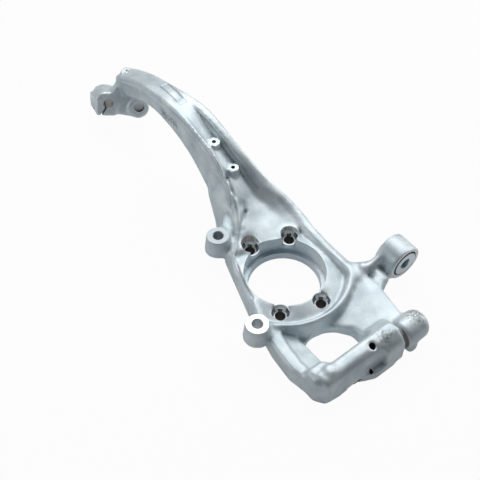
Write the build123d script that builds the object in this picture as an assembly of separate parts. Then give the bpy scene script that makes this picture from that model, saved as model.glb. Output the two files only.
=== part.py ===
import os
from math import cos, radians, sin, tan

from build123d import *

os.makedirs("parts", exist_ok=True)

# A cast steering knuckle with a long arched neck, in millimetres.
# Z is the hub axis and points inboard, Z = 0 is the outboard hub face.
# Everything cast is drawn upright, neck along Y and fore-and-aft along X, and is then
# turned by the lean of the caliper line, so that the machined hub pattern, the
# caliper holes and the axes of the frame agree.
lean = 19.3

# Hub seat
pilot_r = 46.0
recess_r = 52.0
shoulder_z = 11.0
rim_z = 34.0
hub_body_r = 85.0
hub_flat_x = -59.0
hub_right_x = 68.0
rib_z = 37.0
rib_wall = 7.5
valley_z = 26.0
bolt_span_x = 54.0
bolt_span_y = 107.0
bolt_hole_r = 6.5
bolt_seat_r = 10.8
bolt_seat_z = 20.0
bolt_clear_r = 11.9
bolt_clear_z = 29.0
bolt_boss_r = 12.3
bolt_boss_z = 15.0

# Caliper bosses
caliper_x = -64.0
caliper_span = 142.0
caliper_boss_r = 18.0
caliper_face_r = 15.2
caliper_face_z = 48.0
caliper_boss_h = 29.0
caliper_hole_r = 6.6

# Lower frame round the window
plate_low_z = 5.0
plate_z = 33.0
bar_y = -143.0
bar_top_z = 46.0
corner_x = -86.0
foot_y = -168.0
leg_step_z = 23.0

# Split clamp at the foot of the frame
clamp_r = 22.5
clamp_y = -148.0
clamp_z = 23.0
clamp_left_x = 14.0
clamp_slit_x = 44.0
clamp_slit = 6.0
cheek_r = 19.0
cheek_y = -154.0
cheek_end_x = 88.0

# Neck
neck_left_x = 10.0
neck_right_x = 50.0
neck_end_y = 388.0
channel_wall = 6.0
channel_flange = 12.0
channel_slope = 23.3
channel_start_y = 52.0
boss_x = 33.5

# Tie-rod arm
eye_x = 128.0
eye_z = 30.0
eye_r = 24.5
eye_near_y = -84.0
eye_length = 31.0
bush_r = 19.0
bush_bore_r = 7.4

# Upper head, with its own plane through the clamped pin bore
head_point = (-8.3, 374.2, 45.0)
head_across = (0.8165, -0.530, -0.230)
head_pin = (0.416, 0.815, -0.401)
pin_r = 7.2
pin_length = 44.0
pin_spacing = 46.0


def upright(x, y):
    """A point of the finished frame, given in the upright drawing frame."""
    a = radians(lean)
    return (x * cos(a) + y * sin(a), y * cos(a) - x * sin(a))


def blade(points, low, high, radius=0.0):
    """A flat closed outline with rounded corners, pulled up from low to high."""
    if radius > 0:
        wire = FilletPolyline(*points, radius=radius, close=True)
    else:
        wire = Polyline(*points, close=True)
    return extrude(Plane.XY.offset(low) * make_face(wire), high - low)


def side_slab(wire, x_low, x_high):
    """A closed outline in Y and Z, pulled from x_low to x_high."""
    face = make_face(Plane.YZ.offset(x_low) * wire)
    return extrude(face, x_high - x_low, dir=(1, 0, 0))


def along_y(radius, x, z, y_near, y_far):
    """A cylinder whose axis is parallel to Y."""
    return Pos(x, (y_near + y_far) / 2, z) * Rot(90, 0, 0) * Cylinder(radius, y_far - y_near)


def along_x(radius, y, z, x_left, x_right):
    """A cylinder whose axis is parallel to X."""
    return Pos((x_left + x_right) / 2, y, z) * Rot(0, 90, 0) * Cylinder(radius, x_right - x_left)


# Drum round the hub seat, flattened on the side of the caliper
def hub_side(x_edge):
    """The half space on the far side of a flat that faces the caliper."""
    return Rot(0, 0, -lean) * Pos(x_edge + 200, 0, 0) * Box(400, 600, 400)


right_side = Pos(hub_right_x - 200, 0, 0) * Box(400, 600, 400)
drum = Pos(0, 0, rib_z / 2) * Cylinder(hub_body_r, rib_z) & hub_side(hub_flat_x) & right_side
dish_side = Polyline(
    (recess_r - 4, rim_z + 0.5),
    (recess_r, rim_z),
    (hub_body_r - rib_wall - 3, valley_z),
    (hub_body_r - rib_wall, valley_z + 2),
    (hub_body_r - rib_wall + 1, rib_z + 5),
    (recess_r - 4, rib_z + 5),
    close=True,
)
dish = revolve(make_face(Plane.XZ * dish_side), Axis.Z) & hub_side(hub_flat_x + rib_wall)
dish = dish & Pos(-rib_wall, 0, 0) * right_side
drum = drum - dish

# Lower frame: left leg, corner, crossbar and the broad web on the right
frame_pts = [
    upright(-57, 74),
    upright(-57, -72),
    (corner_x + 2, -76),
    (corner_x - 2, -110),
    (corner_x + 3, -146),
    (corner_x + 12, foot_y + 7),
    (corner_x + 30, foot_y + 4),
    (46, foot_y + 6),
    (70, -138),
    (79, -90),
    (76, -40),
    (76, 60),
    (0, 80),
]
frame = blade(frame_pts, plate_low_z, plate_z, 6)
frame = chamfer(frame.edges().group_by(Axis.Z)[-1], 2.5)
window_z = 20.0
window_pts = [(-45, -133), (12, -133), (12, -112), (0, -95), (-12, -87), (-24, -84), (-36, -85), (-45, -91)]
window_top = [(-50, -136), (20, -136), (20, -108), (7, -88), (-8, -82), (-23, -79), (-38, -80), (-50, -88)]
window_low = blade(window_pts, -50, window_z, 5)
window_low_face = make_face(FilletPolyline(*window_pts, radius=5, close=True))
window_top_face = make_face(FilletPolyline(*window_top, radius=5, close=True))
slope_top_z = 39.0
window_slope = loft(
    [Pos(0, 0, window_z) * window_low_face, Pos(0, 0, slope_top_z) * window_top_face], ruled=True
)
window = window_low + window_slope
recess_pts = [
    (-61, -60),
    (-67, -84),
    (-71, -110),
    (-70, -130),
    (-62, -150),
    (-40, -154),
    (-40, -90),
    (-20, -80),
    (-34, -66),
]
recess_floor = Plane(origin=(-46, -100, 19), z_dir=(0.36, 0.0, 0.93))
above_floor = recess_floor * Pos(0, 0, 200) * Box(600, 600, 400)
leg_recess = blade(recess_pts, 0, 60, 4) & above_floor
web_pocket = blade([(26, -90), (54, -70), (54, -126), (30, -122)], -10, plate_z - 14, 6)
web_floor = Plane(origin=(56, -100, plate_z), z_dir=(-0.22, 0.10, 0.97))
above_web = web_floor * Pos(0, 0, 200) * Box(600, 600, 400)
web_slope = Pos(10, -100, 50) * Box(110, 90, 100) & above_web
frame = frame - window - leg_recess - web_pocket - web_slope - dish

bar_wire = Polyline(
    (bar_y + 9, plate_low_z),
    (bar_y + 9, bar_top_z - 12),
    (bar_y + 4, bar_top_z - 2),
    (bar_y + 1, bar_top_z),
    (bar_y - 11, bar_top_z),
    (bar_y - 17, bar_top_z - 5),
    (bar_y - 20, bar_top_z - 14),
    (bar_y - 20, 22),
    (foot_y + 7, 6),
    (foot_y + 12, 0),
    (bar_y + 3, 0),
    close=True,
)
shelf_pts = [
    (-30, -150),
    (-30, -162),
    (-17, foot_y + 2),
    (-4, foot_y - 4),
    (28, foot_y - 4),
    (clamp_slit_x, foot_y - 2),
    (clamp_slit_x, -150),
]
shelf = blade(shelf_pts, 0, 15)
cheek_foot = blade([(52, -150), (53, foot_y - 3), (62, foot_y - 5), (70, foot_y - 2), (76, -158), (76, -150)], 0, 16)
bar = side_slab(bar_wire, corner_x + 11, clamp_slit_x)
corner_pts = [
    (corner_x + 6, -126),
    (corner_x + 3, -146),
    (corner_x + 12, -160),
    (-52, -162),
    (-46, -140),
    (-54, -126),
]
corner = blade(corner_pts, 0, bar_top_z - 3, 5)
corner = chamfer(corner.edges().group_by(Axis.Z)[-1], 4.5)

clamp = along_x(clamp_r, clamp_y, clamp_z, clamp_left_x, clamp_slit_x)
cheek = along_x(cheek_r, cheek_y, clamp_z, clamp_slit_x + clamp_slit, cheek_end_x)
cheek = fillet(cheek.edges().filter_by(GeomType.CIRCLE).group_by(Axis.X)[-1], 11)
hinge = along_x(cheek_r - 3, cheek_y + 2, clamp_z - 3, clamp_slit_x - 6, clamp_slit_x + clamp_slit + 6)

# Neck: the arched side view and the plan view, each pulled through the other
top_line = Spline(
    (40, 37),
    (75, 42),
    (110, 63),
    (150, 99),
    (200, 119),
    (247, 123.5),
    (292, 116.5),
    (340, 101),
    (371, 86),
    (neck_end_y, 75),
)
under_line = Spline((neck_end_y, 46), (345, 64), (295, 86), (245, 82), (200, 58), (165, 26), (130, 8), (90, 3))
side_wire = Wire(
    [top_line, Line((neck_end_y, 75), (neck_end_y, 46)), under_line, Line((90, 3), (40, 3)), Line((40, 3), (40, 37))]
)
neck_side = side_slab(side_wire, -120, 120)
left_line = Spline(
    (-36, 60),
    (-8, 88),
    (neck_left_x - 4, 118),
    (neck_left_x, 160),
    (neck_left_x, 240),
    (neck_left_x + 3, 320),
)
right_line = Spline(
    (43, 320),
    (44, 265),
    (neck_right_x, 205),
    (neck_right_x + 1, 160),
    (61, 125),
    (75, 88),
    (77, 40),
)
plan_wire = Wire(
    [
        left_line,
        Line((neck_left_x + 3, 320), (neck_left_x + 5, neck_end_y)),
        Line((neck_left_x + 5, neck_end_y), (43, neck_end_y)),
        Line((43, neck_end_y), (43, 320)),
        right_line,
        Line((77, 40), (60, 20)),
        Line((60, 20), (-36, 20)),
        Line((-36, 20), (-36, 60)),
    ]
)
neck_plan = extrude(make_face(plan_wire), 200)
above_hub = Rot(0, 0, -lean) * Pos(0, channel_start_y - 6 + 300, 0) * Box(800, 600, 800)
neck = neck_side & neck_plan & above_hub
foot_pts = [(-44, 76), (-40, 102), (-16, 116), (-6, 134), (8, 168), (20, 168), (20, 60)]
foot_top = Plane(origin=(-3, 110, 46), z_dir=(-0.80, -0.11, 0.59))
below_foot = foot_top * Pos(0, 0, -200) * Box(600, 600, 400)
neck_foot = blade(foot_pts, 5, 70, 5) & neck_side & below_foot

# The outboard side of the neck is hollowed to even walls
under_side = side_slab(
    Polyline((102, -20), (102, 22), (122, 43), (150, 59), (182, 71), (212, 77), (238, 80), (238, -20), close=True),
    -100,
    100,
)
under_plan = blade([(0, 104), (17, 150), (19, 236), (41, 236), (43, 160), (54, 122), (58, 104)], -20, 100, 5)
under_pocket = under_side & under_plan

# Channel along the neck: sections across it, each with a flat floor and a sloped right wall.
# Each row is the place along the neck, left edge, right edge at the rib, floor height at
# the left and at the right, and the run and rise of the right wall.
inner_left = neck_left_x + channel_wall
inner_right = neck_right_x - channel_flange
channel_rows = [
    (40, -36, 66, 29, 33, 10, 5),
    (60, -26, 69, 38, 36, 16, 6),
    (82, -7, 67, 46, 40, 20, 8),
    (100, 4, 58.5, 54, 46, 14, 11),
    (126, inner_left - 5, inner_right + 8, 68, 64, 9, 13),
    (155, inner_left, inner_right, 78, 75, 5, 21),
    (185, inner_left, inner_right - 1, 91, 88, 4, 24),
    (205, inner_left, inner_right - 1, 100, 97, 3, 21),
    (240, inner_left + 3, inner_right - 2, 115, 113, 2, 9),
    (268, 24, 33, 121, 120.5, 1, 1),
]


def channel_section(y, left, right, floor_left, floor_right, run, rise):
    """The outline of the channel across the neck at one place along it."""
    outline = Polyline(
        (left, floor_left),
        (right - run, floor_right),
        (right, floor_right + rise),
        (right, 200),
        (left, 200),
        close=True,
    )
    return Plane(origin=(0, y, 0), x_dir=(1, 0, 0), z_dir=(0, -1, 0)) * make_face(outline)


channel = loft([channel_section(*row) for row in channel_rows], ruled=True) & above_hub

rib_top = Spline((-52, 34), (-20, 36.5), (20, 38), (56, 42), (84, 50), (110, 63), (150, 99))
rib_wire = Wire([rib_top, Line((150, 99), (150, 20)), Line((150, 20), (-52, 5)), Line((-52, 5), (-52, 34))])
rib_plan = Wire(
    [
        Spline((neck_right_x + 1, 150), (61, 122), (74, 88), (76, 40), (72, -4), (68, -52)),
        Line((68, -52), (61, -52)),
        Spline((61, -52), (61, -20), (62, 16), (65, 50), (64, 82), (47, 122), (inner_right + 1, 150)),
        Line((inner_right + 1, 150), (neck_right_x + 1, 150)),
    ]
)
flange = side_slab(rib_wire, 0, 120) & extrude(make_face(rib_plan), 200)
nub = Pos(-58, bar_y - 3, bar_top_z - 6) * Cylinder(7.5, 17)

body = drum + frame + bar + shelf + cheek_foot + corner + nub + clamp + cheek + hinge + neck + neck_foot + flange
body = body - channel - window - under_pocket

# The side toward the caliper slopes away from its rib
left_flank = Plane(origin=(-53, 0, rib_z), z_dir=(-0.87, 0.0, 0.50)) * Pos(0, 0, 100) * Box(400, 112, 200)
body = body - Rot(0, 0, -lean) * left_flank

# Two small bosses in the channel and one on the end of the neck
for y, z in ((185.0, 95.5), (145.5, 79.0)):
    body = body + Pos(boss_x, y, z - 7) * Cylinder(7.5, 14)
    body = body - Pos(boss_x, y, z - 4) * Cylinder(2.75, 12)
end_boss = Pos(30, 378, 70) * Cylinder(8.5, 24)
body = body + end_boss

# Tie-rod arm with its eye
arm_pts = [(56, -30), (76, -40), (100, -56), (130, -56), (130, -80), (92, -80), (80, -92), (56, -92)]
arm = blade(arm_pts, 8, 24, 4)
arm_top_wire = Plane.XZ * Polyline(
    (52, 8), (52, 34), (76, 36), (94, 40), (110, 46), (122, 52), (128, 52), (128, 8), close=True
)
arm_top_rib = Pos(0, -56, 0) * extrude(make_face(arm_top_wire), 9, dir=(0, -1, 0))
arm_left_rib = blade([(54, -36), (76, -41), (92, -52), (104, -57), (90, -65), (74, -60), (60, -54)], 8, 35)
arm_low_rib = blade([(52, -60), (62, -60), (76, -74), (94, -78), (96, -86), (80, -92), (66, -92), (54, -76)], 8, 31)
arm_nub = Pos(80, -56, 30) * Cylinder(4.5, 19)
arm = arm + arm_top_rib + arm_left_rib + arm_low_rib + arm_nub - dish
eye = along_y(eye_r, eye_x, eye_z, eye_near_y, eye_near_y + eye_length)
lug = along_y(8.5, 91, 24, -88, -60)
body = body + arm + eye + lug
body = body - along_y(bush_r, eye_x, eye_z, eye_near_y - 50, eye_near_y + 150)

# Bolt holes of the crossbar: one down through its top, three into its machined foot
body = body - Pos(3, bar_y - 9, bar_top_z) * Cylinder(4.2, 60)
for x, z in ((-22, 6), (32, 6), (65, 8)):
    body = body - along_y(3.6, x, z, foot_y - 20, foot_y + 22)

# Upper head
head = Plane(origin=head_point, x_dir=head_across, z_dir=tuple(-v for v in head_pin))


def head_blade(points, depth_front, depth_back, radius=0.0):
    """An outline in the head's own plane, pulled back along the pin."""
    solid = blade(points, -depth_back, -depth_front, radius)
    return head * solid


def head_section(points, depth):
    """A flat section of the head, set back along the pin."""
    return head * Pos(0, 0, -depth) * make_face(Polyline(*points, close=True))


front_section = head_section([(-17.5, 1.5), (-14.5, -20), (14, -17), (14, 1.5)], 0)
rear_section = head_section([(-24.5, 3), (-21, -19), (12, -17), (12, 5)], pin_length)
t_block = loft([front_section, rear_section])
t_crown = head_blade([(-20, 2), (-17, 10.5), (-8, 15.5), (6, 15.5), (15, 8), (12, -4), (-14, -4)], 3, pin_length, 3)
leg_t = head_blade([(2, 0), (7, 14), (10, 21), (15, 36), (30, 42), (42, 24), (17, 25), (13, 2)], 5, 36, 0)
c_lobe = head * Pos(pin_spacing - 2.5, -2, -10) * Cylinder(15.5, 20)
web_pts = [(-10, -18), (16, -16), (40, -17), (52, 10), (46, 34), (14, 40), (0, 10)]
head_web = head_blade(web_pts, 4, 22, 0)
body = body + t_block + t_crown + c_lobe + leg_t + head_web
body = body - head * Cylinder(pin_r, 200) - head * Pos(pin_spacing - 2, 0, 0) * Cylinder(pin_r, 60)
slit_run = 30.0
slit = head * Rot(0, 0, -23) * Pos(0, -slit_run / 2, -pin_length / 2) * Box(3, slit_run, pin_length + 20)
pinch = head * Pos(-15, -12, -20) * Rot(0, 90, 0) * Cylinder(4.2, 60)
body = body - slit - pinch

knuckle = Rot(0, 0, lean) * body

# Caliper bosses and everything machined about the hub, in the finished frame
for s in (1, -1):
    boss = Cone(caliper_boss_r, caliper_face_r, caliper_boss_h)
    knuckle = knuckle + Pos(caliper_x, s * caliper_span / 2, caliper_face_z - caliper_boss_h / 2) * boss
knuckle = knuckle - Pos(0, 0, shoulder_z + 100) * Cylinder(recess_r, 200)
knuckle = knuckle - Cylinder(pilot_r, 200)
bolt_bosses = [
    Pos(sx * bolt_span_x / 2, sy * bolt_span_y / 2, 0) for sx in (1, -1) for sy in (1, -1)
]
step_side = Polyline(
    (0, -20),
    (bolt_hole_r, -20),
    (bolt_hole_r, bolt_seat_z),
    (bolt_seat_r, bolt_seat_z),
    (bolt_seat_r, bolt_clear_z - 1.1),
    (bolt_clear_r, bolt_clear_z),
    (bolt_clear_r, 90),
    (0, 90),
    close=True,
)
bolt_step = revolve(make_face(Plane.XZ * step_side), Axis.Z)
for spot in bolt_bosses:
    bolt_boss = Cylinder(bolt_boss_r, bolt_clear_z - bolt_boss_z)
    knuckle = knuckle + spot * Pos(0, 0, (bolt_clear_z + bolt_boss_z) / 2) * bolt_boss
for spot in bolt_bosses:
    knuckle = knuckle - spot * bolt_step
for s in (1, -1):
    knuckle = knuckle - Pos(caliper_x, s * caliper_span / 2, 0) * Cylinder(caliper_hole_r, 300)

bush_length = eye_length + 1.0
bush = Pos(eye_x, eye_near_y + eye_length / 2, eye_z) * Rot(90, 0, 0) * (
    Cylinder(bush_r, bush_length) - Cylinder(bush_bore_r, bush_length + 2)
)
tie_rod_bush = Rot(0, 0, lean) * bush

export_step(knuckle, "parts/knuckle.step")
export_step(tie_rod_bush, "parts/tie_rod_bush.step")
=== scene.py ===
import math

import bmesh
import bpy
from mathutils import Matrix, Vector
from mathutils.geometry import intersect_point_line


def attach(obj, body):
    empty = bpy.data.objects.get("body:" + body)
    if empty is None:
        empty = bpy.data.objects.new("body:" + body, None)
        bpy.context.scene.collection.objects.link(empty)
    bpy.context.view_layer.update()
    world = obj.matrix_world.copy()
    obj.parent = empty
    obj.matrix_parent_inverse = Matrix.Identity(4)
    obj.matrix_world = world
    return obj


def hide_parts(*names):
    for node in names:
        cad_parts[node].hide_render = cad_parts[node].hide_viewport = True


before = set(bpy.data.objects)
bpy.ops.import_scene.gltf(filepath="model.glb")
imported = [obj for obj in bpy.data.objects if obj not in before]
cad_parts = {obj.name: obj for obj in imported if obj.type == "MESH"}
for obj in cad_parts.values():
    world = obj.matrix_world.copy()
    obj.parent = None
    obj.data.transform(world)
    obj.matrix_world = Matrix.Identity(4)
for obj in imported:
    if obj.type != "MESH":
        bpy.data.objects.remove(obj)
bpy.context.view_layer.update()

# The casting as it leaves the mould: one pour of aluminium with draughted walls and soft
# corners. Its bores are still closed and the faces that get machined still carry their
# extra metal, so the whole skin can be made even and soft, as a blasted casting is.
mm = 0.001
lean = math.radians(19.3)
turn = Matrix.Rotation(lean, 4, "Z")
back_turn = turn.inverted()
upright = Matrix.Identity(4)
seat_r, rim_z = 52.0, 34.0
bolt_spots = [(x, y) for x in (-27.0, 27.0) for y in (-53.5, 53.5)]
bolt_boss_r, bolt_boss_z = 12.3, 29.0
caliper_spots = [(-64.0, -71.0), (-64.0, 71.0)]
caliper_face_r, caliper_face_z = 15.2, 48.0
eye_x, eye_z, eye_r = 128.0, 30.0, 24.5
eye_near, eye_far = 84.0, 53.0
head_point = Vector((-8.3, 374.2, 45.0))
head_across = Vector((0.8165, -0.530, -0.230)).normalized()
head_pin = Vector((0.416, 0.815, -0.401))
head_pin = (head_pin - head_pin.dot(head_across) * head_across).normalized()
pin_r, pin_gap = 7.2, 44.0


def axes_at(point, across, along):
    """A place in the part: Z along the given direction, X across it, in the turned frame."""
    columns = Matrix((across, along.cross(across), along)).transposed().to_4x4()
    return turn @ Matrix.Translation(Vector(point) * mm) @ columns


def spot(x, y):
    """An upright place over a point of the hub pattern."""
    return Matrix.Translation((x * mm, y * mm, 0))


def rod(metal, place, radius, low, high, steps=64):
    """A closed round bar from low to high along the place's own axis."""
    middle = place @ Matrix.Translation((0, 0, (low + high) / 2 * mm))
    bmesh.ops.create_cone(
        metal,
        cap_ends=True,
        segments=steps,
        radius1=radius * mm,
        radius2=radius * mm,
        depth=(high - low) * mm,
        matrix=middle,
    )


def as_piece(metal, name):
    """A new object with the mesh that was worked on."""
    mesh = bpy.data.meshes.new(name)
    metal.to_mesh(mesh)
    metal.free()
    piece = bpy.data.objects.new(name, mesh)
    bpy.context.scene.collection.objects.link(piece)
    return piece


def settle(piece):
    """Makes the piece's modifiers part of its mesh."""
    graph = bpy.context.evaluated_depsgraph_get()
    mesh = bpy.data.meshes.new_from_object(piece.evaluated_get(graph))
    piece.modifiers.clear()
    old = piece.data
    piece.data = mesh
    bpy.data.meshes.remove(old)


# Plugs close the bores, and bosses that get a milled face are cast a little too high
head_place = axes_at(head_point, head_across, head_pin)
eye_place = axes_at((eye_x, 0, eye_z), Vector((1, 0, 0)), Vector((0, -1, 0)))
plug_lap, caliper_stock, eye_stock = 0.4, 2.0, 1.5
pin_plug_low, pin_plug_high, far_plug_high = 1, 43, 19
upper_boss_z, lower_boss_z = 36.0, bolt_boss_z + 0.6
caliper_boss_foot, caliper_plug_r, caliper_plug_foot = 22.0, 12.0, 19.2
blank = bmesh.new()
blank.from_mesh(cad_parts["knuckle"].data)
bmesh.ops.remove_doubles(blank, verts=blank.verts, dist=1e-6)
rod(blank, upright, seat_r + plug_lap, 0, rim_z - 0.3, steps=128)
for x, y in bolt_spots:
    rod(blank, spot(x, y), bolt_boss_r, 0, upper_boss_z if y > 0 else lower_boss_z)
for x, y in caliper_spots:
    rod(blank, spot(x, y), caliper_face_r, caliper_boss_foot, caliper_face_z + caliper_stock)
    rod(blank, spot(x, y), caliper_plug_r, caliper_plug_foot, caliper_boss_foot + 1)

# Bars that fill the corner between the upper caliper boss, the neck's foot and the hub.
# Each stands at (x, y) and ends at the third number.
filler_r = 9
neck_fillers = [
    (-57, 78, 43),
    (-50, 82, 44),
    (-46, 90, 45),
    (-42, 98, 46),
    (-35, 110, 50),
    (-40, 84, 42),
    (-36, 94, 44),
]
hub_fillers = [(-47, 60, 36), (-44, 67, 38), (-51, 52, 34)]
for low, fillers in ((18, neck_fillers), (12, hub_fillers)):
    for x, y, high in fillers:
        rod(blank, spot(x, y), filler_r, low, high)
rod(blank, eye_place, eye_r, eye_far - eye_stock, eye_near + eye_stock)
rod(blank, head_place, pin_r + plug_lap, pin_plug_low, pin_plug_high)
rod(blank, head_place @ spot(pin_gap, 0), pin_r + plug_lap, pin_plug_low, far_plug_high)
casting = as_piece(blank, "knuckle_casting")


def even_skin(piece, size):
    """One even closed skin over the piece, as a mesh to work on."""
    skin = piece.modifiers.new("skin", "REMESH")
    skin.mode = "VOXEL"
    skin.voxel_size = size * mm
    settle(piece)
    metal = bmesh.new()
    metal.from_mesh(piece.data)
    return metal


def soften(verts, times):
    """Rubs the skin down, which rounds its edges and fills its inner corners."""
    for _ in range(times):
        bmesh.ops.smooth_vert(
            cast, verts=verts, factor=0.5, use_axis_x=True, use_axis_y=True, use_axis_z=True
        )


def share(value):
    """The value, held between nothing and the whole."""
    return min(1.0, max(0.0, value))


def between(value, points):
    """The height of a run of straight lines at one place along it."""
    for (first, low), (second, high) in zip(points, points[1:]):
        if value <= second:
            return low + (high - low) * max(0.0, (value - first) / (second - first))
    return points[-1][1]


def hump(value, middle, width):
    """A smooth bump of height one over the middle."""
    return math.exp(-(((value - middle) / width) ** 2))


def in_dish(vert):
    """Whether a vertex lies on the cast dish round the hub seat."""
    return 54 * mm < vert.co.xy.length < 100 * mm and vert.co.z > 12 * mm


def within(middle, reach):
    """The skin's vertices that are nearer to a point than the reach."""
    return [vert for vert in cast.verts if (vert.co - middle).length < reach * mm]


first_skin, last_skin = 1.7, 1.72
cast = even_skin(casting, first_skin)
soften(cast.verts, 6)
soften([vert for vert in cast.verts if in_dish(vert)], 12)

# The long rib down the caliper side of the neck, the valley beside it and the channel's
# deep side. Each line runs up the neck: its first number is the height on the page, with
# the neck drawn upright. At its upper end the channel runs out into the arched crest.
crest_line = [(60, -30.5), (90, -2.9), (105, 6), (136, 12.7), (184, 10.4), (226, 10.5)]
crest_height = [
    (90, 40),
    (110, 63),
    (125, 77),
    (145.5, 95.7),
    (165, 107.6),
    (185, 115.1),
    (205, 120),
    (225, 122.9),
    (245, 123.5),
]
channel_depth = [(90, 12), (110, 10), (125, 11.5), (145, 13.5), (185, 13.5), (205, 10), (222, 4), (236, 0)]
channel_foot = [(90, 46), (126, 40), (155, 37), (190, 37), (236, 36)]
channel_start, channel_end, arch_start = 100, 278, 236
channel_left, channel_right, channel_low, fade_in, fade_out = 9, 50, 45, 15, 30
arch_top_y, arch_top_z, arch_bend = 247, 123.5, 0.0025
wall_lap, wall_steepness = 2.5, 0.65
rib_rise, rib_width = 2.0, 3.6
valley_fall, valley_gap, valley_width = 3.8, 9.5, 4.2


def crest_at(y):
    """The height of the neck's crest, which is an arch past the channel's end."""
    if y < arch_start:
        return between(y, crest_height)
    return arch_top_z - arch_bend * (y - arch_top_y) ** 2


cast.normal_update()
moves = []
for vert in cast.verts:
    at = back_turn @ vert.co / mm
    facing = back_turn.to_3x3() @ vert.normal
    in_channel = channel_start < at.y < channel_end and channel_left < at.x < channel_right
    if in_channel and at.z > channel_low and facing.z > -0.5:
        near_side, foot = between(at.y, crest_line) + wall_lap, between(at.y, channel_foot)
        across = share((at.x - near_side) / (foot - near_side)) ** wall_steepness
        floor_z = crest_at(at.y) - between(at.y, channel_depth) * across
        fade = min(1.0, (at.y - channel_start) / fade_in, (channel_end - at.y) / fade_out)
        raised = max(0.0, floor_z - at.z) * fade
        if at.x > near_side and raised > 0 and (at.y < arch_start or 13 < at.x < 40):
            moves.append((vert, raised))
            continue
    if facing.z < 0.25 or at.z < 30 or not 56 < at.y < 200 or not -45 < at.x < 60:
        continue
    beside = at.x - between(at.y, crest_line)
    run = share((at.y - 62) / 20) * share((215 - at.y) / 40)
    lift = rib_rise * run * hump(beside, 0, rib_width)
    lift -= valley_fall * run * hump(beside, valley_gap, valley_width)
    moves.append((vert, lift))
for vert, lift in moves:
    vert.co.z += lift * mm
soften([vert for vert, lift in moves], 4)
arm_foot, boss_foot = turn @ (Vector((100, -68, 28)) * mm), Vector((-44, 97, 48)) * mm
soften(within(arm_foot, 24), 10)
soften(within(boss_foot, 28), 16)

# The small round bosses on the neck, as (x, y, top, radius), are cast on before the last skin
neck_bosses = [(25.2, 174.4, 108.5, 8.2), (28.1, 139.1, 88.0, 8.0), (29.5, 378.0, 82.8, 9.0)]
neck_boss_length = 14
for x, y, top, radius in neck_bosses:
    rod(cast, turn @ spot(x, y), radius, top - neck_boss_length, top, 48)
cast.to_mesh(casting.data)
cast.free()
cast = even_skin(casting, last_skin)
soften(cast.verts, 2)
for vert in cast.verts:
    vert.co.z = max(vert.co.z, 0.0)


def push_out(pushes):
    """Moves each vertex along its normal, by its own distance."""
    for vert, push in pushes:
        vert.co += vert.normal * push * mm


# A parting ridge along the caliper side of the neck, with a shallow groove above it. Both
# keep the same distance below the crest.
ridge_start, ridge_end = 110, 372
ridge_rise, ridge_below, ridge_width = 1.1, 10, 1.6
groove_fall, groove_below, groove_width = 1.0, 5, 2.2
cast.normal_update()
ridge_moves = []
for vert in cast.verts:
    at = back_turn @ vert.co / mm
    facing = back_turn.to_3x3() @ vert.normal
    if facing.x < -0.5 and ridge_start < at.y < ridge_end:
        below = crest_at(at.y) - at.z
        rise = ridge_rise * hump(below, ridge_below, ridge_width)
        ridge_moves.append((vert, rise - groove_fall * hump(below, groove_below, groove_width)))
push_out(ridge_moves)

# The side rib goes on past the upper caliper boss, with a valley between it and the hub
side_valley = [
    (-18, 96, 49),
    (-30, 80, 45),
    (-37, 66, 41),
    (-44, 54, 38),
    (-49, 45, 35),
    (-54, 29, 34),
    (-55, 14, 33),
    (-55, -4, 33),
    (-53, -25, 34),
]
side_rib = [
    (-27, 108, 62),
    (-26, 97, 54),
    (-34, 79, 46),
    (-45, 65, 38),
    (-52, 49, 35),
    (-57, 34, 30),
    (-58, 20, 27),
]


def line_gap(point, line):
    """The distance from a point to a run of straight lines."""
    gaps = []
    for first, second in zip(line, line[1:]):
        nearest, along = intersect_point_line(point, first, second)
        nearest = Vector(first).lerp(Vector(second), share(along))
        gaps.append((point - nearest).length)
    return min(gaps)


side_rise, side_rib_width = 1.3, 3.0
side_fall, side_valley_width = 2.6, 2.6
cast.normal_update()
side_moves = []
for vert in cast.verts:
    at = vert.co / mm
    if -66 < at.x < -8 and -36 < at.y < 118 and at.z > 18:
        rise = side_rise * hump(line_gap(at, side_rib), 0, side_rib_width)
        fall = side_fall * hump(line_gap(at, side_valley), 0, side_valley_width)
        side_moves.append((vert, rise - fall))
push_out(side_moves)

# The raised outline of a pad on the crest, which is left bare
pad_lean, pad_x, pad_y = math.radians(-6.3), 31.0, 268.0
pad_place = turn @ spot(pad_x, pad_y) @ Matrix.Rotation(pad_lean, 4, "Z")
pad_back = pad_place.inverted()
pad_half, pad_corner, pad_margin = (5.4, 26.5), 2.5, 2.5
pad_low, pad_rise, pad_edge_width = 95, 0.7, 0.8
pad_faces = []
for face in cast.faces:
    at = pad_back @ face.calc_center_median() / mm
    inside_pad = abs(at.x) < pad_half[0] + pad_margin and abs(at.y) < pad_half[1] + pad_margin
    if inside_pad and at.z > pad_low and face.normal.z > 0.4:
        pad_faces.append(face)
pad_edges = list({edge for face in pad_faces for edge in face.edges})
bmesh.ops.subdivide_edges(cast, edges=pad_edges, cuts=2, use_grid_fill=True)
cast.normal_update()
for vert in cast.verts:
    at = pad_back @ vert.co / mm
    if abs(at.x) > 9 or abs(at.y) > 30 or at.z < pad_low or vert.normal.z < 0.3:
        continue
    reach = Vector((abs(at.x) - pad_half[0] + pad_corner, abs(at.y) - pad_half[1] + pad_corner))
    outside = Vector((max(reach.x, 0), max(reach.y, 0))).length + min(max(reach.x, reach.y), 0) - pad_corner
    vert.co += vert.normal * pad_rise * hump(outside, 0, pad_edge_width) * mm
    vert.co.z = min(vert.co.z, arch_top_z * mm)
for face in cast.faces:
    face.smooth = True
cast.to_mesh(casting.data)
cast.free()


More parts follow.
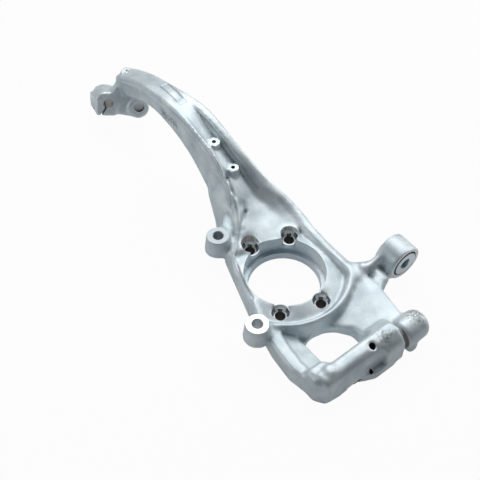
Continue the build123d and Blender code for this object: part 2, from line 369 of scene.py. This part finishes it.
class Signal:
    """One value of a shader; arithmetic on it adds the Math nodes."""

    def __init__(self, finish, socket):
        self.finish = finish
        self.socket = socket

    def __add__(self, other):
        return self.finish.maths("ADD", self, other)

    __radd__ = __add__

    def __sub__(self, other):
        return self.finish.maths("SUBTRACT", self, other)

    def __rsub__(self, other):
        return self.finish.maths("SUBTRACT", other, self)

    def __mul__(self, other):
        return self.finish.maths("MULTIPLY", self, other)

    __rmul__ = __mul__


class Finish:
    """A finish: a material whose nodes are added one call at a time."""

    def __init__(self, name):
        self.material = bpy.data.materials.new(name)
        self.material.use_nodes = True
        self.tree = self.material.node_tree
        self.shader = self.tree.nodes["Principled BSDF"]
        self.place = self.add("ShaderNodeTexCoord", {}, {}, "Object")

    def add(self, kind, settings, values, output=0):
        """One node: its type, its settings, and the values or links of its sockets."""
        node = self.tree.nodes.new(kind)
        for name, value in settings.items():
            if name == "stops":
                for stop, (position, level) in zip(node.color_ramp.elements, value):
                    stop.position = position
                    stop.color = (level, level, level, 1)
            else:
                setattr(node, name, value)
        for name, value in values.items():
            self.join(value, node.inputs[name])
        return Signal(self, node.outputs[output])

    def join(self, value, socket):
        """Links a signal to a socket, or sets a plain value on it."""
        if isinstance(value, Signal):
            self.tree.links.new(value.socket, socket)
        else:
            socket.default_value = value

    def maths(self, operation, first, second=0.0):
        return self.add("ShaderNodeMath", {"operation": operation}, {0: first, 1: second})

    def noise(self, size, detail=3.0):
        """Soft noise with spots of about the given size."""
        values = {"Vector": self.place, "Scale": 1 / (size * mm), "Detail": detail}
        return self.add("ShaderNodeTexNoise", {}, values)

    def stretched(self, scales):
        """Noise drawn out into streaks, with its own scale along each axis."""
        place = self.add("ShaderNodeMapping", {}, {"Vector": self.place, "Scale": scales})
        return self.add("ShaderNodeTexNoise", {}, {"Vector": place, "Scale": 1.0, "Detail": 2.0})

    def steps(self, value, *stops):
        """A ramp between two (position, level) stops."""
        return self.add("ShaderNodeValToRGB", {"stops": stops}, {"Fac": value})

    def blend(self, amount, first, second):
        """A mix of two colours, on the Mix node's colour sockets."""
        return self.add("ShaderNodeMix", {"data_type": "RGBA"}, {0: amount, 6: first, 7: second}, 2)

    def near(self, point, radius):
        """One at a point of the part, falling to none at the radius."""
        values = {0: self.place, 1: Vector(point) * mm}
        far = self.add("ShaderNodeVectorMath", {"operation": "DISTANCE"}, values, "Value")
        values = {"Value": far, "From Max": radius * mm, "To Min": 1.0, "To Max": 0.0}
        return self.add("ShaderNodeMapRange", {}, values)

    def surface(self, **values):
        """Sets the shader's own sockets, named with _ for each space."""
        for name, value in values.items():
            self.join(value, self.shader.inputs[name.replace("_", " ")])

    def relief(self, height, strength, depth):
        """Fine relief that is too small for the mesh."""
        values = {"Height": height, "Strength": strength, "Distance": depth * mm}
        self.surface(Normal=self.add("ShaderNodeBump", {}, values))


# The cast skin: pale grey, clouded, finely pitted and stained in a few places, with painted
# shade in its hollows and a painted highlight along its crests
as_cast = Finish("cast_aluminium")
grain = as_cast.noise(1.1, 3)
pits = as_cast.noise(3.0, 4)
clouds = as_cast.noise(24, 6)
specks = as_cast.steps(as_cast.noise(2.2, 2), (0.66, 0), (0.74, 1))
# The skin's pointiness: it drives both the painted highlight on crests and the painted shade in hollows
sharpness = as_cast.add("ShaderNodeNewGeometry", {}, {}, "Pointiness")
# A painted highlight on the crests, where the skin's pointiness is high
crest = as_cast.steps(sharpness, (0.5, 0), (0.58, 1))
# Painted shade in the hollows, where the skin's pointiness is low
hollow_shade = as_cast.steps(sharpness, (0.42, 1), (0.495, 0))
pale, grey, hollow_shade_grey = (0.80, 0.88, 0.91, 1), (0.52, 0.62, 0.67, 1), (0.16, 0.21, 0.24, 1)
crest_highlight_pale, stain_brown, outline_shade_grey = (0.88, 0.91, 0.93, 1), (0.17, 0.17, 0.16, 1), (0.30, 0.34, 0.37, 1)
speck_grey = (0.30, 0.33, 0.35, 1)
tone = as_cast.steps(clouds * 0.65 + grain * 0.35, (0.36, 0), (0.62, 1))
colour = as_cast.blend(tone, grey, pale)
# Blends the painted shade into the hollows
colour = as_cast.blend(hollow_shade * 0.85, colour, hollow_shade_grey)
# Blends the painted highlight onto the crests
colour = as_cast.blend(crest * 0.5, colour, crest_highlight_pale)
stains = [
    ((122, -119, 38), 34),
    ((72, -136, 43), 26),
    ((-77, 251, 100), 20),
    ((-69, 229, 100), 18),
    ((-52, 194, 88), 18),
]
dirt = sum(as_cast.near(place, radius) for place, radius in stains)
dirt = as_cast.steps(dirt * as_cast.noise(2.8, 4), (0.30, 0), (0.46, 1))
colour = as_cast.blend(dirt * 0.7, colour, stain_brown)
# A painted shade line all round the pad's raised outline, on the crest only
values = {"Vector": as_cast.place, "Location": pad_place.translation, "Rotation": pad_place.to_euler()}
pad_spot = as_cast.add("ShaderNodeMapping", {"vector_type": "TEXTURE"}, values)
pad_gaps = []
for axis, half in enumerate(pad_half):
    along = as_cast.add("ShaderNodeSeparateXYZ", {}, {"Vector": pad_spot}, axis)
    pad_gaps.append(as_cast.maths("ABSOLUTE", along) - half * mm)
pad_outline_shade = as_cast.maths("ABSOLUTE", as_cast.maths("MAXIMUM", *pad_gaps))
height = as_cast.add("ShaderNodeSeparateXYZ", {}, {"Vector": as_cast.place}, 2)
pad_outline_shade = as_cast.steps(pad_outline_shade * 1000, (0.3, 1), (0.9, 0))
pad_outline_shade = pad_outline_shade * as_cast.steps(height * 10, (0.93, 0), (0.97, 1))
colour = as_cast.blend(pad_outline_shade * 0.5, colour, outline_shade_grey)
colour = as_cast.blend(specks * 0.35, colour, speck_grey)
as_cast.surface(Base_Color=colour, Roughness=0.40 + grain * 0.16 + clouds * 0.08, Metallic=0.5)
as_cast.relief(grain * 0.35 + pits * 0.65, 0.35, 0.5)
casting.data.materials.clear()
casting.data.materials.append(as_cast.material)

# Machining. Each cutter has the shape of a tool's path and leaves its own finish: the turned
# hub seat, the stepped bolt holes, the milled caliper, eye and head faces, the drilled
# holes, the two sawn slits and the notches under the crossbar.
turned = Finish("turned_seat")
wave = turned.noise(9, 2)
lines = turned.stretched((90, 90, 900))
turned_tone = turned.blend(wave, (0.54, 0.65, 0.72, 1), (0.76, 0.84, 0.89, 1))
# The seat wall is painted lighter round a point on its right side: a painted highlight
turned.surface(
    Base_Color=turned.blend(turned.near((52, 2, 20), 34), turned_tone, (0.93, 0.96, 0.98, 1)),
    Roughness=0.42 + lines * 0.12,
    Metallic=0.5,
)

# A painted highlight for the bolt bowls: a light, barely metallic copy of the machined face
bowl_glint = Finish("counterbore_painted_glint")
bowl_glint_tone = bowl_glint.noise(6)
bowl_glint.surface(
    Base_Color=bowl_glint.blend(bowl_glint_tone, (0.86, 0.91, 0.94, 1), (0.97, 0.98, 0.99, 1)),
    Roughness=0.28 + bowl_glint_tone * 0.1,
    Metallic=0.2,
)

# A painted dark reflection for the bowls' flanks: a dark blue copy of the same machined face
bowl_dark_reflection = Finish("bolt_seat_painted_reflection")
bowl_dark_reflection_tone = bowl_dark_reflection.noise(5)
bowl_dark_reflection.surface(
    Base_Color=bowl_dark_reflection.blend(bowl_dark_reflection_tone, (0.16, 0.22, 0.28, 1), (0.40, 0.48, 0.54, 1)),
    Roughness=0.22 + bowl_dark_reflection_tone * 0.1,
    Metallic=0.7,
)

bored = Finish("clearance_wall")
chatter = bored.steps(bored.stretched((700, 700, 12)), (0.42, 0), (0.60, 1))
bored.surface(
    Base_Color=bored.blend(chatter, (0.60, 0.61, 0.59, 1), (0.97, 0.97, 0.95, 1)),
    Roughness=0.36 + chatter * 0.1,
    Metallic=0.3,
)

milled = Finish("milled_face")
values = {"Vector": milled.place, "Scale": 45.0, "Distortion": 1.5}
tracks = milled.add("ShaderNodeTexWave", {"bands_direction": "DIAGONAL"}, values)
milled.surface(
    Base_Color=milled.blend(milled.noise(7), (0.66, 0.72, 0.76, 1), (0.86, 0.89, 0.91, 1)),
    Roughness=0.34 + tracks * 0.10,
    Metallic=0.7,
)
milled.relief(tracks, 0.10, 0.15)

dull = Finish("dull_spot_face")
dull.surface(
    Base_Color=dull.blend(dull.noise(6), (0.40, 0.46, 0.49, 1), (0.52, 0.58, 0.61, 1)),
    Roughness=0.45 + dull.noise(2) * 0.1,
    Metallic=0.5,
)

sawn = Finish("sawn_slit")
sawn.surface(
    Base_Color=sawn.blend(sawn.noise(4), (0.36, 0.35, 0.33, 1), (0.58, 0.57, 0.54, 1)),
    Roughness=0.5 + sawn.noise(2) * 0.1,
    Metallic=0.4,
)

# Painted shade: drilled holes and a few deep pockets are coloured near black brown, as they look in shade
drilled_shade = Finish("drilled_hole_painted_shade")
drilled_shade.surface(
    Base_Color=drilled_shade.blend(drilled_shade.noise(3), (0.055, 0.045, 0.04, 1), (0.14, 0.12, 0.11, 1)),
    Roughness=0.5,
    Metallic=0.6,
)


def block(metal, place, low, high):
    """A closed box between two corners in the place's own axes."""
    low, high = Vector(low) * mm, Vector(high) * mm
    shape = Matrix.Translation((low + high) / 2) @ Matrix.Diagonal(high - low).to_4x4()
    bmesh.ops.create_cube(metal, size=1.0, matrix=place @ shape)


def lathe(metal, place, outline, steps=96):
    """A closed turned shape: (radius, height) points spun round the place's own axis."""
    points = [metal.verts.new(place @ Vector((r * mm, 0, z * mm))) for r, z in outline]
    edges = [metal.edges.new(pair) for pair in zip(points, points[1:])]
    bmesh.ops.spin(
        metal,
        geom=points + edges,
        cent=place.translation,
        axis=place.to_3x3().col[2],
        angle=math.tau,
        steps=steps,
        use_merge=True,
    )
    bmesh.ops.remove_doubles(metal, verts=metal.verts, dist=1e-7)
    bmesh.ops.recalc_face_normals(metal, faces=metal.faces)


def finished(metal, name, *finishes):
    """A piece whose faces pick a finish by number; a cutter leaves its finishes on the cut."""
    piece = as_piece(metal, name)
    for finish in finishes:
        piece.data.materials.append(finish.material)
    return piece


def cut_away(target, tool):
    """Takes the tool's shape out of the target, once the target is settled."""
    cut = target.modifiers.new("cut", "BOOLEAN")
    cut.operation = "DIFFERENCE"
    cut.solver = "EXACT"
    cut.material_mode = "TRANSFER"
    cut.object = tool


# The hub seat is turned round the bolt bosses, which keep their own height inside it
pilot_r, shoulder_z = 46.0, 11.0
seat_outline = [
    (0, -10),
    (pilot_r, -10),
    (pilot_r, shoulder_z - 1.5),
    (pilot_r + 0.5, shoulder_z - 0.5),
    (pilot_r + 1.5, shoulder_z),
    (seat_r, shoulder_z),
    (seat_r, rim_z - 0.4),
    (seat_r + 1, rim_z + 0.6),
    (seat_r + 1, 60),
    (0, 60),
]
seat = bmesh.new()
lathe(seat, upright, seat_outline, 160)
hub_seat = finished(seat, "hub_seat_cutter", turned)
keep = bmesh.new()
for x, y in bolt_spots:
    rod(keep, spot(x, y), bolt_boss_r, 20, 26.5 if y > 0 else bolt_boss_z)
boss_keep = finished(keep, "boss_keep", turned)
cut_away(hub_seat, boss_keep)
settle(hub_seat)

# Each bolt hole opens into a rounded bowl under a narrow clearance wall. Its faces take a
# painted highlight toward the high softbox and a painted dark reflection on their flanks, by angle.
bolt_hole_r, wall_r, wall_z, lip_z = 6.2, 12, 29, 27.7
bowl = [(6.7, 21.5), (8.2, 22.1), (9.6, 23.4), (10.6, 25.2), (11.1, 27.6), (11.3, 28.4)]
bolt_outline = [(0, -10), (bolt_hole_r, -10), (bolt_hole_r, 21)]
bolt_outline += bowl + [(wall_r, wall_z), (wall_r, 70), (0, 70)]
bolts = bmesh.new()
for x, y in bolt_spots:
    lathe(bolts, spot(x, y), bolt_outline, 72)
bowl_glint_face, hole_face, wall_face, flank_reflection_face, lip_face = range(5)
# Faces are sorted by their angle round the hole into painted highlight and painted dark reflection
glint_side = Vector((0.3535, 0.9354))
for face in bolts.faces:
    face.smooth = True
    centre = face.calc_center_median() / mm
    away = min((centre.xy - Vector(place) for place in bolt_spots), key=lambda gap: gap.length)
    turned_by = math.degrees(away.angle(glint_side, 0)) if away.length > 0.01 else 0
    # The bolt hole's wall takes the painted shade
    if away.length < bolt_hole_r + 0.3:
        face.material_index = hole_face
    elif centre.z > wall_z + 0.1:
        face.material_index = wall_face
    elif centre.z > lip_z:
        face.material_index = lip_face
    elif turned_by < 40:
        face.material_index = flank_reflection_face if 7.3 < away.length < 9.2 and turned_by < 20 else bowl_glint_face
    else:
        face.material_index = flank_reflection_face if turned_by < 100 and away.length > 8 else bowl_glint_face
bolt_step = finished(bolts, "bolt_cutter", bowl_glint, drilled_shade, bored, bowl_dark_reflection, milled)

# The caliper faces with their holes, the eye with its bore, and the head's two pin bores
# and end face
caliper_hole_r, mill_r = 6.6, 19
caliper_outline = [
    (0, 3),
    (caliper_hole_r, 3),
    (caliper_hole_r, caliper_face_z - 0.8),
    (caliper_hole_r + 0.8, caliper_face_z),
    (mill_r, caliper_face_z),
    (mill_r, 60),
    (0, 60),
]
bush_r, eye_mill_r = 19.0, 26
eye_outline = [
    (0, 40),
    (eye_mill_r, 40),
    (eye_mill_r, eye_far),
    (bush_r + 0.6, eye_far),
    (bush_r, eye_far + 0.6),
    (bush_r, eye_near - 0.6),
    (bush_r + 0.6, eye_near),
    (eye_mill_r, eye_near),
    (eye_mill_r, 96),
    (0, 96),
]
pin_depth, far_pin_depth, end_slope = 44.0, 5, math.radians(-6.3)
head_end = head_place @ Matrix.Rotation(end_slope, 4, "Y")
mill = bmesh.new()
for x, y in caliper_spots:
    lathe(mill, spot(x, y), caliper_outline)
lathe(mill, eye_place, eye_outline)
lathe(mill, head_place, [(0, -9), (pin_r, -9), (pin_r, pin_depth + 9), (0, pin_depth + 9)])
lathe(mill, head_place @ spot(pin_gap, 0), [(0, -9), (pin_r, -9), (pin_r, far_pin_depth), (0, 5.5)])
block(mill, head_end, (-60, -30, -20), (-17.9, 26, 60))
flat_face, spot_face, pin_wall, far_pin_shade_wall = range(4)
for face in mill.faces:
    at = face.calc_center_median()
    by_upper_caliper = (at.xy - Vector(caliper_spots[1]) * mm).length < 22 * mm
    face.material_index = spot_face if by_upper_caliper else flat_face
    local = head_place.inverted() @ at / mm
    if local.length < 90 and abs(local.x) < 8:
        face.material_index = pin_wall
    # The far pin bore's wall takes the painted shade, which draws its dark crescent
    if local.length < 90 and 30 < local.x < 60 and local.z < far_pin_depth - 0.1:
        face.material_index = far_pin_shade_wall
face_mill = finished(mill, "face_mill", milled, dull, bored, drilled_shade)

# Small drilled holes: one in the crossbar, one in each of the channel's bosses, and the pinch
# bolt's hole in the head's end with a smaller one beside it. The head's boss has a dimple.
*channel_bosses, head_boss = neck_bosses
dimple_x, dimple_y, dimple_top = head_boss[:3]
cross_hole_r, boss_hole_r, pinch_hole_r, side_hole_r = 4.2, 2.75, 3.0, 1.6
pinch = head_place @ Matrix.Translation(Vector((0, 12, 20)) * mm) @ Matrix.Rotation(math.tau / 4, 4, "Y")
drills = bmesh.new()
rod(drills, turn @ spot(3, -152), cross_hole_r, 10, 60, 32)
for x, y, top, radius in channel_bosses:
    rod(drills, turn @ spot(x, y), boss_hole_r, top - 10, top + 4, 32)
rod(drills, pinch, pinch_hole_r, -30, -8, 32)
rod(drills, pinch @ spot(-3, 5), side_hole_r, -30, -14, 24)
small_drill = finished(drills, "small_drill", drilled_shade)
dimple = bmesh.new()
dimple_outline = [(0, dimple_top - 2.2), (1.4, dimple_top - 2), (3.6, dimple_top + 0.1), (3.6, 90), (0, 90)]
lathe(dimple, turn @ spot(dimple_x, dimple_y), dimple_outline, 32)
dimple_punch = finished(dimple, "dimple_punch", milled)

# The slit of the head's clamp, and the groove round the crossbar's clamp, which stops short
# of the web
slit_lean, slit_half = math.radians(23), 1.5
slit_place = head_place @ Matrix.Rotation(slit_lean, 4, "Z")
clamp_place = axes_at((0, -149, 22), Vector((0, 1, 0)), Vector((1, 0, 0)))
cut_start, cut_end, cut_inner_r, cut_outer_r = 43.8, 49.9, 17, 26
ring = [(cut_inner_r, cut_start), (cut_outer_r, cut_start), (cut_outer_r, cut_end), (cut_inner_r, cut_end)]
saw = bmesh.new()
block(saw, slit_place, (-slit_half, 2, -10), (slit_half, 31, 54))
lathe(saw, clamp_place, ring + ring[:1])
slit_saw = finished(saw, "slit_saw", sawn)
stop = bmesh.new()
block(stop, turn, (38, -140.5, -20), (56, -100, 70))
saw_stop = as_piece(stop, "saw_stop")
cut_away(slit_saw, saw_stop)
settle(slit_saw)

# Two notches and a drilled hole along the crossbar's lower edge
# The first notch and the hole take the painted shade of the drilled holes
notch_shade_face = 1
notches = bmesh.new()
block(notches, turn, (-44, -176, -5), (-22, -160.8, 11))
rod(notches, turn @ spot(-8, -166), 2.6, 8, 20, 32)
for face in notches.faces:
    face.material_index = notch_shade_face
block(notches, turn, (32, -180, -5), (41, -169.5, 14))
notch_mill = finished(notches, "notch_mill", milled, drilled_shade)

tools = (hub_seat, bolt_step, face_mill, small_drill, dimple_punch, slit_saw, notch_mill)
for tool in tools:
    cut_away(casting, tool)
settle(casting)
for tool in (*tools, boss_keep, saw_stop):
    bpy.data.objects.remove(tool)

# Machined edges stay sharp, and the hub face that rests on the ground is milled flat
machined = bmesh.new()
machined.from_mesh(casting.data)
bmesh.ops.remove_doubles(machined, verts=machined.verts, dist=1e-6)
for edge in machined.edges:
    sides = {face.material_index for face in edge.link_faces}
    if len(sides) > 1 or edge.calc_face_angle(0) > 0.6:
        edge.smooth = False
hub_face_r = 78
finish_at = {slot.name: number for number, slot in enumerate(casting.data.materials)}
for face in machined.faces:
    face.smooth = True
    centre = face.calc_center_median() / mm
    if centre.z < 0.25 and face.normal.z < -0.98 and centre.xy.length < hub_face_r:
        face.material_index = finish_at["milled_face"]
machined.to_mesh(casting.data)
machined.free()
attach(casting, "root")
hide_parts("knuckle")

# The bush: a steel sleeve turned with a chamfer at each end and pressed into the eye. It
# ends a hair proud of the casting; its outer chamfers are painted near black, a painted shadow line round
# its joint.
steel = Finish("bush_steel")
steel_tone = steel.noise(5, 3)
steel_lines = steel.add("ShaderNodeTexWave", {"wave_type": "RINGS"}, {"Vector": steel.place, "Scale": 40.0})
steel.surface(
    Base_Color=steel.blend(steel_tone, (0.50, 0.58, 0.62, 1), (0.68, 0.75, 0.79, 1)),
    Roughness=0.26 + steel_lines * 0.08,
    Metallic=1.0,
)
inside = Finish("bush_bore")
inside.surface(
    Base_Color=inside.blend(inside.noise(3), (0.30, 0.47, 0.52, 1), (0.74, 0.85, 0.88, 1)),
    Roughness=0.34,
    Metallic=0.6,
)
# A painted shadow for the bush's outer chamfers
joint_shadow = Finish("bush_joint_painted_shadow")
joint_shadow.surface(
    Base_Color=joint_shadow.blend(joint_shadow.noise(2), (0.03, 0.035, 0.04, 1), (0.09, 0.10, 0.11, 1)),
    Roughness=0.7,
)
bore_r, near_end, far_end = 7.4, eye_near + 0.5, eye_far - 0.5
groove_r = bush_r - 2.2
outline = [
    (bore_r, far_end + 1),
    (bore_r + 1, far_end),
    (groove_r, far_end),
    (bush_r - 1.2, far_end + 1.2),
    (bush_r, far_end + 1.3),
    (bush_r, near_end - 1.3),
    (bush_r - 1.2, near_end - 1.2),
    (groove_r, near_end),
    (bore_r + 1, near_end),
    (bore_r, near_end - 1),
    (bore_r, far_end + 1),
]
sleeve = bmesh.new()
lathe(sleeve, eye_place, outline)
back = eye_place.inverted()
end_face, bore_face, joint_shadow_face = range(3)
for face in sleeve.faces:
    local = back @ face.calc_center_median()
    out = local.xy.length / mm
    face.material_index = bore_face if out < bore_r + 0.2 else (joint_shadow_face if out > groove_r else end_face)
    face.smooth = True
for edge in sleeve.edges:
    edge.smooth = edge.calc_face_angle(0) < 0.5
bush = finished(sleeve, "pressed_bush", steel, inside, joint_shadow)
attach(bush, "root")
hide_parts("tie_rod_bush")

# Ground and backdrop: one pale sheet that runs out of the view. The camera sees it nearly
# white, and it keeps the soft shadow under the part.
sheet = bmesh.new()
bmesh.ops.create_grid(sheet, x_segments=1, y_segments=1, size=40.0)
floor = as_piece(sheet, "floor")
paper = Finish("paper")
kinds = ("Camera", "Glossy", "Transmission")
rays = {kind: paper.add("ShaderNodeLightPath", {}, {}, f"Is {kind} Ray") for kind in kinds}
seen = (rays["Camera"] + rays["Transmission"]) * 0.96 + rays["Glossy"] * 0.4
white = paper.add("ShaderNodeEmission", {}, {"Color": (1, 1, 1, 1), "Strength": 1.0})
matte = paper.add("ShaderNodeBsdfDiffuse", {}, {"Color": (0.55, 0.56, 0.57, 1)})
lit = paper.add("ShaderNodeMixShader", {}, {0: seen, 1: matte, 2: white})
paper.join(lit, paper.tree.nodes["Material Output"].inputs["Surface"])
paper.tree.nodes.remove(paper.shader)
floor.data.materials.append(paper.material)

# Light: one large softbox high behind the part, three weaker ones round it and a dim room,
# as for a product photo on white
world = bpy.data.worlds.new("studio")
bpy.context.scene.world = world
world.use_nodes = True
room = world.node_tree.nodes["Background"]
room.inputs["Color"].default_value = (0.88, 0.94, 1.0, 1)
room.inputs["Strength"].default_value = 0.05
part_middle = Vector((0, 0.1, 0.03))
for name, place, width, height, power in (
    ("top_softbox", (0.35, 0.95, 1.3), 1.4, 1.1, 18),
    ("right_light", (1.4, 0.3, 0.7), 1.0, 0.8, 8),
    ("left_light", (-1.2, 0.3, 0.6), 0.8, 0.6, 4),
    ("front_light", (-0.3, -1.4, 0.7), 1.0, 0.8, 0.8),
):
    lamp = bpy.data.lights.new(name, "AREA")
    lamp.shape = "RECTANGLE"
    lamp.size = width
    lamp.size_y = height
    lamp.energy = power
    panel = bpy.data.objects.new(name, lamp)
    panel.location = place
    panel.rotation_euler = (part_middle - Vector(place)).to_track_quat("-Z", "Y").to_euler()
    bpy.context.scene.collection.objects.link(panel)

# Camera: a 75 mm lens from the caliper side, 51.5 degrees above the ground, rolled by one
# degree and moved a little off the hub so that the whole part is in view
azimuth, elevation, roll = math.radians(-20.7), math.radians(51.5), math.radians(1.0)
distance, share_left, share_up = 1.25, 0.0452, 0.031
aim = Vector((0, 0, rim_z * mm))
forward = Vector(
    (
        math.cos(elevation) * -math.sin(azimuth),
        math.cos(elevation) * math.cos(azimuth),
        -math.sin(elevation),
    )
)
right = forward.cross(Vector((0, 0, 1))).normalized()
up = right.cross(forward)
right, up = right * math.cos(roll) + up * math.sin(roll), up * math.cos(roll) - right * math.sin(roll)
lens = bpy.data.cameras.new("camera")
lens.lens = 75.0
lens.sensor_width = 36.0
lens.clip_start = 0.01
camera = bpy.data.objects.new("camera", lens)
stand = aim - forward * distance - right * (share_left * distance) + up * (share_up * distance)
camera.matrix_world = Matrix.Translation(stand) @ Matrix((right, up, -forward)).transposed().to_4x4()
bpy.context.scene.collection.objects.link(camera)
bpy.context.scene.camera = camera
bpy.context.scene.view_settings.view_transform = "Standard"
